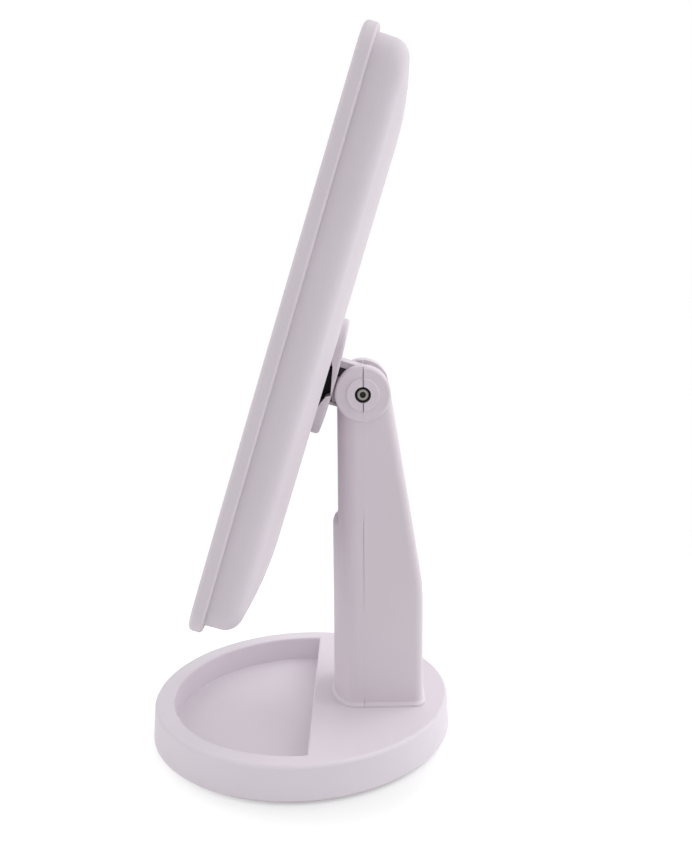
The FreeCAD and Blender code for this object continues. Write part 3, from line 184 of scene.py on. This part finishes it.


# Rings on the pin's end, as shares of its radius: a black centre, painted shade in its hollow, and a pale rim, its
# own tone and partly a painted highlight; and the size and gloss of the tool marks
PIN_RINGS_PAINTED_SHADE_AND_HIGHLIGHT = ((0.5, "#383735"), (0.68, "#a3a09b"), (0.95, "#7d7a76"))
PIN_MARKS_MM = 0.35
PIN_ROUGH = (0.34, 0.48)


def pin_with_painted_shade_and_highlight():
    """Blackened pin with painted rings on its end: a pale dull rim, partly a painted highlight, round a black
    centre that is painted shade in its hollow.
    """
    material, tree, shader, place = new_material("blackened_steel_painted_shade_and_highlight", Metallic=1.0)
    low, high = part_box("hinge_pin")
    centre = (0, (low.y + high.y) / 2, (low.z + high.z) / 2)
    flat = add(tree, "ShaderNodeMapping", {"Vector": place, "Scale": (0, 1, 1)}).outputs["Vector"]
    away = add(tree, "ShaderNodeVectorMath", {0: flat, 1: centre}, operation="DISTANCE").outputs["Value"]
    share = add(tree, "ShaderNodeMapRange", {"Value": away, "From Max": (high.y - low.y) / 2})
    rings = add(
        tree, "ShaderNodeValToRGB", {"Fac": share.outputs["Result"]},
        stops=[(position, colour(tint)) for position, tint in PIN_RINGS_PAINTED_SHADE_AND_HIGHLIGHT])
    marks = add(
        tree, "ShaderNodeTexNoise",
        {"Vector": place, "Scale": 1 / (PIN_MARKS_MM * MM), "Detail": NOISE_DETAIL}).outputs["Fac"]
    gloss = add(
        tree, "ShaderNodeMapRange", {"Value": marks, "To Min": PIN_ROUGH[0], "To Max": PIN_ROUGH[1]})
    tree.links.new(rings.outputs["Color"], shader.inputs["Base Color"])
    tree.links.new(gloss.outputs["Result"], shader.inputs["Roughness"])
    return material


# Grain of spark-eroded tools and of blasting is finer than a pixel, so it is drawn coarse enough to show
FINISHES = {
    # Moulded ABS: a satin skin, pale with a lilac cast, faintly cloudy where the melt flowed
    "body_plastic": mottled(
        "satin_moulded_abs", "#d3cad2", "#d8cfd7",
        blob_mm=38, grain_mm=0.7, relief_mm=0.009, rough=(0.41, 0.52), IOR=1.53),
    # The same ABS in the base, a little duller, and painted lighter: painted light standing in for more light on
    # its top and in its tray
    "base_plastic": mottled(
        "satin_moulded_abs_base_painted_lighter", "#dcd4dc", "#e1d9e1",
        blob_mm=38, grain_mm=0.7, relief_mm=0.009, rough=(0.43, 0.54), IOR=1.53),
    # Moulded ABS from a coarsely eroded tool: duller, with a grain that catches the light
    "cover_plastic": mottled(
        "grained_moulded_abs", "#c6bdc5", "#cec6cd",
        blob_mm=38, grain_mm=1.1, relief_mm=0.02, rough=(0.57, 0.68), IOR=1.53),
    # White ABS that throws the light back: clean and a little glossier
    "white_plastic": mottled(
        "white_moulded_abs", "#e6e6e4", "#ededeb",
        blob_mm=38, grain_mm=0.8, relief_mm=0.005, rough=(0.35, 0.46), IOR=1.53),
    # Black glass-filled nylon: dull, with paler flecks of fibre
    "black_plastic": mottled(
        "black_glass_filled_nylon", "#1c1c1e", "#333336",
        blob_mm=0.9, grain_mm=0.9, relief_mm=0.012, rough=(0.5, 0.6), IOR=1.53),
    # Opal acrylic light guide, blasted: milky and half matt, with light spread inside it
    "frosted_plastic": mottled(
        "blasted_opal_acrylic", "#e6e9ea", "#f0f2f2",
        blob_mm=20, grain_mm=0.5, relief_mm=0.004, rough=(0.38, 0.46), IOR=1.49,
        Subsurface_Weight=0.3, Subsurface_Radius=(3 * MM, 3 * MM, 3 * MM), Subsurface_Scale=1.0),
    # Float glass silvered behind: a clear reflection with a faint cool cast and the float's slow ripple
    "silvered_glass": mottled(
        "silvered_float_glass", "#dfe6e7", "#e4eaeb",
        blob_mm=60, grain_mm=60, relief_mm=0.0005, rough=(0.012, 0.018), Metallic=1.0),
    # Boards: white mask under the lamps, green mask elsewhere
    "white_laminate": board_laminate("white_board_laminate", "#e2e2dc", "#e8e8e3", "#d5d3c8"),
    "green_laminate": board_laminate("green_board_laminate", "#1d5a38", "#226540", "#2f7a4e"),
    # Light-emitting diodes: clear silicone over yellow phosphor
    "led_package": mottled(
        "phosphor_silicone", "#e2cf6a", "#f0e6a4",
        blob_mm=0.4, grain_mm=0.4, relief_mm=0.002, rough=(0.22, 0.28), IOR=1.45, Coat_Weight=0.5),
    # Nickel-plated steel, pressed and rolled: bright, with fine streaks along it
    "bright_steel": mottled(
        "nickel_plated_steel", "#8f8c87", "#b4b1ab",
        blob_mm=0.35, grain_mm=0.35, relief_mm=0.001, rough=(0.24, 0.38), along=12, Metallic=1.0),
    # Blackened spring steel: near black, with a low oily shine
    "black_steel": mottled(
        "blackened_steel", "#232220", "#33312e",
        blob_mm=0.35, grain_mm=0.35, relief_mm=0.001, rough=(0.34, 0.48), along=12, Metallic=1.0),
    # Natural nylon: waxy ivory, slightly see-through at its edges
    "nylon": mottled(
        "natural_nylon", "#d9d5c8", "#e5e2d8",
        blob_mm=4, grain_mm=1.5, relief_mm=0.003, rough=(0.36, 0.44), IOR=1.53, Subsurface_Weight=0.1),
    # Moulded silicone foot: dead matt with a powdery grain
    "grey_rubber": mottled(
        "grey_silicone_rubber", "#8d8a8d", "#a09da0",
        blob_mm=0.7, grain_mm=0.7, relief_mm=0.015, rough=(0.75, 0.85), IOR=1.41),
    # Shrunk film: a dark jacket with a soft metallic shine
    "cell_jacket": shrink_film(),
}
# The column's mouldings in the same ABS as the head, painted a shade lighter: painted light standing in for light
# that the lamps don't bring to the column
COLUMN_ABS_PAINTED_LIGHTER = mottled(
    "satin_moulded_abs_column_painted_lighter", "#d8cfd7", "#ddd4dc",
    blob_mm=38, grain_mm=0.7, relief_mm=0.009, rough=(0.41, 0.52), IOR=1.53)
# Nodes whose finish isn't their slot's common one
OWN_FINISHES = {
    "hinge_pin": pin_with_painted_shade_and_highlight(),
    "column_front_shell": COLUMN_ABS_PAINTED_LIGHTER,
    "column_rear_shell": COLUMN_ABS_PAINTED_LIGHTER,
    "battery_door": COLUMN_ABS_PAINTED_LIGHTER,
}
# Blasted glass of the touch sign: white and dull, with the grit's sparkle
BLASTED_GLASS = mottled(
    "sand_blasted_glass", "#c9d0d2", "#f2f4f4",
    blob_mm=0.3, grain_mm=0.3, relief_mm=0.01, rough=(0.65, 0.75), IOR=1.52)


def dress_nodes():
    """Every CAD node gets its own finish, or that of its slot in the record."""
    for part in frame["record"]["subparts"]:
        for place in nodes[part["node"]].material_slots:
            place.material = OWN_FINISHES.get(part["node"], FINISHES[part["material_slot"]])


# Small fittings
def piece_from(name, mesh, material, body):
    """A fitting at the origin, with its place in its mesh, that rides a body and takes a slot."""
    thing = bpy.data.objects.new(name, mesh)
    bpy.context.scene.collection.objects.link(thing)
    # A mesh from a node tree has its material already
    if not mesh.materials:
        mesh.materials.append(material)
    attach(thing, body)
    return thing


def mesh_from(shape, name):
    """A finished shape as a mesh."""
    mesh = bpy.data.meshes.new(name)
    shape.to_mesh(mesh)
    shape.free()
    return mesh


def push_out(shape, faces, push):
    """Flat faces of a shape become closed slabs, pushed out one way."""
    raised = bmesh.ops.extrude_face_region(shape, geom=faces)["geom"]
    corners = [part for part in raised if isinstance(part, bmesh.types.BMVert)]
    bmesh.ops.translate(shape, verts=corners, vec=push)
    bmesh.ops.recalc_face_normals(shape, faces=shape.faces)


def flat_face(shape, outline):
    """A flat face of a shape, from its outline."""
    return shape.faces.new([shape.verts.new(spot) for spot in outline])


def plane_of(node, normal):
    """How far a node's face lies out along a direction."""
    return max(vertex.co.dot(normal) for vertex in nodes[node].data.vertices)


SIGN_RADIUS = 4.6 * MM
SIGN_LINE = 0.7 * MM
SIGN_GAP = math.radians(32)
SIGN_STEPS = 56
SIGN_PROUD = 0.02 * MM
SIGN_THICK = 0.05 * MM
# Where the sign's bar starts and ends, as shares of the ring's radius
SIGN_BAR = (0.15, 1.15)


def touch_sign():
    """Blasted ring and bar on the glass in front of the touch board."""
    tilt = -math.radians(joints["mirror_tilt"]["range_deg"][0])
    outward = Vector((0, -math.cos(tilt), math.sin(tilt)))
    upward = Vector((0, math.sin(tilt), math.cos(tilt)))
    across = Vector((1, 0, 0))
    low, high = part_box("touch_board")
    middle = (low + high) / 2
    floor_of_sign = plane_of("mirror_glass", outward) + SIGN_PROUD - SIGN_THICK
    centre = middle + outward * (floor_of_sign - middle.dot(outward))

    shape = bmesh.new()
    rims = []
    for step in range(SIGN_STEPS + 1):
        turn = SIGN_GAP + (math.tau - 2 * SIGN_GAP) * step / SIGN_STEPS
        ray = across * math.sin(turn) + upward * math.cos(turn)
        rims.append([shape.verts.new(centre + ray * r) for r in (SIGN_RADIUS - SIGN_LINE, SIGN_RADIUS)])
    for (a, b), (c, d) in zip(rims, rims[1:]):
        shape.faces.new((a, b, d, c))
    half = across * SIGN_LINE / 2
    foot, head = [centre + upward * SIGN_RADIUS * share for share in SIGN_BAR]
    flat_face(shape, (foot - half, foot + half, head + half, head - half))
    push_out(shape, shape.faces[:], outward * SIGN_THICK)
    mesh = mesh_from(shape, "touch_sign")
    return piece_from("touch_sign", mesh, BLASTED_GLASS, "mirror_head")


# The bottom cover's screws. Each has a cross of two bars let into the lower face of its head, half in
# and half out. The bars' heights differ a little, so that their floors don't lie in one plane
SCREW_SIZES = {
    "Head radius": 2.2 * MM,
    "Head height": 0.9 * MM,
    "Shank radius": 1.0 * MM,
    "Recess length": 2.5 * MM,
    "Recess width": 0.6 * MM,
    "First bar height": 1.1 * MM,
    "Second bar height": 1.04 * MM,
}
SCREW_ANGLES = (20, 90, 160)
HEAD_SIDES = 40
SHANK_SIDES = 20


def screw_tree(sizes, material):
    """Cross-recessed screws, head down, one on each point of the mesh that it is given."""
    tree = bpy.data.node_groups.new("cross_recess_screws", "GeometryNodeTree")
    sockets = tree.interface
    sockets.new_socket("Geometry", in_out="INPUT", socket_type="NodeSocketGeometry")
    for name in sizes:
        sockets.new_socket(name, in_out="INPUT", socket_type="NodeSocketFloat")
    sockets.new_socket("Geometry", in_out="OUTPUT", socket_type="NodeSocketGeometry")
    given = add(tree, "NodeGroupInput").outputs

    head = add(
        tree, "GeometryNodeMeshCylinder",
        {"Vertices": HEAD_SIDES, "Radius": given["Head radius"], "Depth": given["Head height"]})
    drop = add(tree, "ShaderNodeMath", {0: given["Head height"], 1: -0.5}, operation="MULTIPLY")
    lower_face = add(tree, "ShaderNodeCombineXYZ", {"Z": drop.outputs[0]}).outputs[0]
    cross = add(tree, "GeometryNodeMeshBoolean", operation="UNION")
    bars = (
        ("Recess length", "Recess width", "First bar height"),
        ("Recess width", "Recess length", "Second bar height"))
    for wide, deep, tall in bars:
        size = add(tree, "ShaderNodeCombineXYZ", {"X": given[wide], "Y": given[deep], "Z": given[tall]})
        bar = add(tree, "GeometryNodeMeshCube", {"Size": size.outputs[0]})
        lowered = add(
            tree, "GeometryNodeTransform", {"Geometry": bar.outputs[0], "Translation": lower_face})
        tree.links.new(lowered.outputs[0], cross.inputs[1])
    recessed = add(
        tree, "GeometryNodeMeshBoolean", {0: head.outputs[0], 1: cross.outputs[0]}, operation="DIFFERENCE")

    shank = add(
        tree, "GeometryNodeMeshCylinder",
        {"Vertices": SHANK_SIDES, "Radius": given["Shank radius"], "Depth": given["Shank length"]})
    lift = add(tree, "ShaderNodeMath", {0: given["Shank length"], 1: 0.5}, operation="MULTIPLY")
    shift = add(tree, "ShaderNodeCombineXYZ", {"Z": lift.outputs[0]})
    raised = add(
        tree, "GeometryNodeTransform", {"Geometry": shank.outputs[0], "Translation": shift.outputs[0]})

    screw = add(tree, "GeometryNodeJoinGeometry")
    for source in (raised, recessed):
        tree.links.new(source.outputs[0], screw.inputs[0])
    spots = add(
        tree, "GeometryNodeInstanceOnPoints",
        {"Points": given["Geometry"], "Instance": screw.outputs[0]})
    real = add(tree, "GeometryNodeRealizeInstances", {"Geometry": spots.outputs[0]})
    painted = add(tree, "GeometryNodeSetMaterial", {"Geometry": real.outputs[0], "Material": material})
    add(tree, "NodeGroupOutput", {"Geometry": painted.outputs[0]})
    return tree


def cover_screws():
    """The screws of the bottom cover, which stand in for their CAD solids."""
    low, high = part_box("base_cover_screws")
    # One screw lies straight behind the middle, so the box ends at its head's edge
    ring = high.y - SCREW_SIZES["Head radius"]
    middle = low.z + SCREW_SIZES["Head height"] / 2
    sizes = {**SCREW_SIZES, "Shank length": high.z - middle}
    points = bpy.data.meshes.new("cover_screw_points")
    turns = [math.radians(angle) for angle in SCREW_ANGLES]
    points.from_pydata([(ring * math.cos(t), ring * math.sin(t), middle) for t in turns], [], [])
    carrier = bpy.data.objects.new("cover_screw_points", points)
    bpy.context.scene.collection.objects.link(carrier)
    modifier = carrier.modifiers.new("screws", "NODES")
    modifier.node_group = screw_tree(sizes, FINISHES["bright_steel"])
    for item in modifier.node_group.interface.items_tree:
        if item.name in sizes:
            modifier[item.identifier] = sizes[item.name]
    mesh = bpy.data.meshes.new_from_object(carrier.evaluated_get(bpy.context.evaluated_depsgraph_get()))
    carrier.modifiers.remove(modifier)
    bpy.data.objects.remove(carrier)
    mesh.name = "cover_screws"
    screws = piece_from("cover_screws", mesh, FINISHES["bright_steel"], "stand")
    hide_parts("base_cover_screws")
    return screws


# The cheek's corners in millimetres, to the rear and up from the hinge's axis, and their rounding
CHEEK_CORNERS = ((-12.6, -4.4), (-8.8, -4.8), (-7.6, 0.2), (-8.6, 5.6), (-12.5, 6.1))
CHEEK_THICK = 0.2 * MM
CHEEK_SUNK = 0.04 * MM
CHEEK_ROUND = 0.6 * MM
CHEEK_ROUND_STEPS = 5


def knuckle_cheeks():
    """Thin moulded cheeks, one on each side, that close the knuckle's web over the core by the ears."""
    low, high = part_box("hinge_core")
    axis = Vector(joints["mirror_tilt"]["pos_m"])
    shape = bmesh.new()
    for side, core_face in ((-1, low.x), (1, high.x)):
        foot = core_face - side * CHEEK_SUNK
        outline = [(foot, axis.y + y * MM, axis.z + z * MM) for y, z in CHEEK_CORNERS]
        push_out(shape, [flat_face(shape, outline)], (side * CHEEK_THICK, 0, 0))
    through = [
        edge for edge in shape.edges
        if abs(edge.verts[0].co.x - edge.verts[1].co.x) > CHEEK_THICK / 2]
    bmesh.ops.bevel(
        shape, geom=through, offset=CHEEK_ROUND, segments=CHEEK_ROUND_STEPS,
        profile=0.5, affect="EDGES", clamp_overlap=True)
    mesh = mesh_from(shape, "knuckle_cheeks")
    return piece_from("knuckle_cheeks", mesh, FINISHES["body_plastic"], "mirror_head")


# The seam rib's corners in millimetres, out from the middle and up from the column's foot
RIB_CORNERS = ((15.3, 2.8), (17.26, 2.8), (17.26, 41.2), (16.3, 57.2), (15.3, 65.2))
SEAM_GAP = 0.12 * MM
RIB_PLAY = 0.003 * MM


def seam_ribs():
    """Ribs that fill the lower part of the seam between the column's halves and run out above it."""
    low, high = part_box("column_front_shell")
    shape = bmesh.new()
    for side in (-1, 1):
        outline = [(side * x * MM, high.y + RIB_PLAY, low.z + z * MM) for x, z in RIB_CORNERS]
        push_out(shape, [flat_face(shape, outline)], (0, SEAM_GAP - 2 * RIB_PLAY, 0))
    mesh = mesh_from(shape, "seam_ribs")
    return piece_from("seam_ribs", mesh, OWN_FINISHES["column_front_shell"], "stand")


# Studio
def seen_by_eye(tree):
    """1 for rays from the camera, a reflection or clear glass, and 0 for rays that light the object."""
    path = add(tree, "ShaderNodeLightPath").outputs
    seen = path["Is Camera Ray"]
    for other in ("Is Glossy Ray", "Is Transmission Ray"):
        seen = add(tree, "ShaderNodeMath", {0: seen, 1: path[other]}, operation="MAXIMUM").outputs[0]
    return seen


def floor_finish():
    """Matt white paper sweep: it takes the contact shadow and shows white to the camera."""
    material = bpy.data.materials.new("white_paper_sweep")
    material.use_nodes = True
    tree = material.node_tree
    tree.nodes.clear()
    eye = seen_by_eye(tree)
    tone = add(tree, "ShaderNodeMapRange", {"Value": eye, "To Min": PAPER_LIT, "To Max": PAPER_SEEN})
    paper = add(tree, "ShaderNodeBsdfDiffuse", {"Color": tone.outputs["Result"]})
    place = add(tree, "ShaderNodeTexCoord").outputs["Object"]
    away = add(tree, "ShaderNodeVectorMath", {0: place, 1: LIFT_CENTRE}, operation="DISTANCE")
    reach = LIFT_STOPS[-1][0]
    share = add(tree, "ShaderNodeMapRange", {"Value": away.outputs["Value"], "From Max": reach})
    lift = add(
        tree, "ShaderNodeValToRGB", {"Fac": share.outputs["Result"]},
        stops=[(far / reach, (level, level, level, 1.0)) for far, level in LIFT_STOPS])
    lift.color_ramp.interpolation = "EASE"
    seen = add(tree, "ShaderNodeMath", {0: lift.outputs["Color"], 1: eye}, operation="MULTIPLY")
    glow = add(tree, "ShaderNodeEmission", {"Strength": seen.outputs[0]})
    both = add(tree, "ShaderNodeAddShader", {0: paper.outputs[0], 1: glow.outputs[0]})
    add(tree, "ShaderNodeOutputMaterial", {"Surface": both.outputs[0]})
    return material


def lay_floor():
    """A flat sheet of paper under the base."""
    mesh = bpy.data.meshes.new("floor")
    corners = [(x * FLOOR_HALF, y * FLOOR_HALF, 0) for x, y in ((-1, -1), (1, -1), (1, 1), (-1, 1))]
    mesh.from_pydata(corners, [], [(0, 1, 2, 3)])
    mesh.materials.append(floor_finish())
    floor = bpy.data.objects.new("floor", mesh)
    bpy.context.scene.collection.objects.link(floor)


def light_world():
    """Even white room, which shows pure white to the camera and in reflections."""
    world = bpy.data.worlds.new("white_studio")
    bpy.context.scene.world = world
    world.use_nodes = True
    tree = world.node_tree
    tree.nodes.clear()
    eye = seen_by_eye(tree)
    level = add(tree, "ShaderNodeMapRange", {"Value": eye, "To Min": ROOM_LIGHT, "To Max": 1.0})
    glow = add(
        tree, "ShaderNodeBackground", {"Color": (1, 1, 1, 1), "Strength": level.outputs["Result"]})
    add(tree, "ShaderNodeOutputWorld", {"Surface": glow.outputs[0]})


def broad_light(name, direction, level, wide):
    """A soft even light from far off. The mirror shows the white room alone, not a clipped lamp."""
    light = bpy.data.lights.new(name, "SUN")
    light.energy = level * math.pi
    light.angle = math.radians(wide)
    lamp = bpy.data.objects.new(name, light)
    lamp.location = direction
    lamp.rotation_euler = (-direction).to_track_quat("-Z", "Y").to_euler()
    lamp.visible_glossy = False
    bpy.context.scene.collection.objects.link(lamp)


def set_camera():
    """The camera that took the photograph, with its framing as a shift of the lens."""
    data = bpy.data.cameras.new("photo_camera")
    data.sensor_width = SENSOR
    data.lens = FOCAL_PIXELS / PHOTO_TALL * SENSOR
    data.shift_x = (PHOTO_WIDE / 2 - LENS_PIXEL[0]) / PHOTO_TALL
    data.shift_y = (LENS_PIXEL[1] - PHOTO_TALL / 2) / PHOTO_TALL
    data.clip_start = NEAREST_SEEN
    camera = bpy.data.objects.new("photo_camera", data)
    forward = Vector((
        -math.cos(CAMERA_DIP) * math.cos(CAMERA_TURN),
        math.cos(CAMERA_DIP) * math.sin(CAMERA_TURN),
        -math.sin(CAMERA_DIP)))
    camera.location = CAMERA_AT
    camera.rotation_euler = forward.to_track_quat("-Z", "Y").to_euler()
    bpy.context.scene.collection.objects.link(camera)
    bpy.context.scene.camera = camera


dress_nodes()
touch_sign()
cover_screws()
knuckle_cheeks()
seam_ribs()
lay_floor()
light_world()
for name, (direction, level, wide) in BROAD_LIGHTS.items():
    broad_light(name, direction, level, wide)
set_camera()
bpy.context.scene.view_settings.view_transform = "Standard"
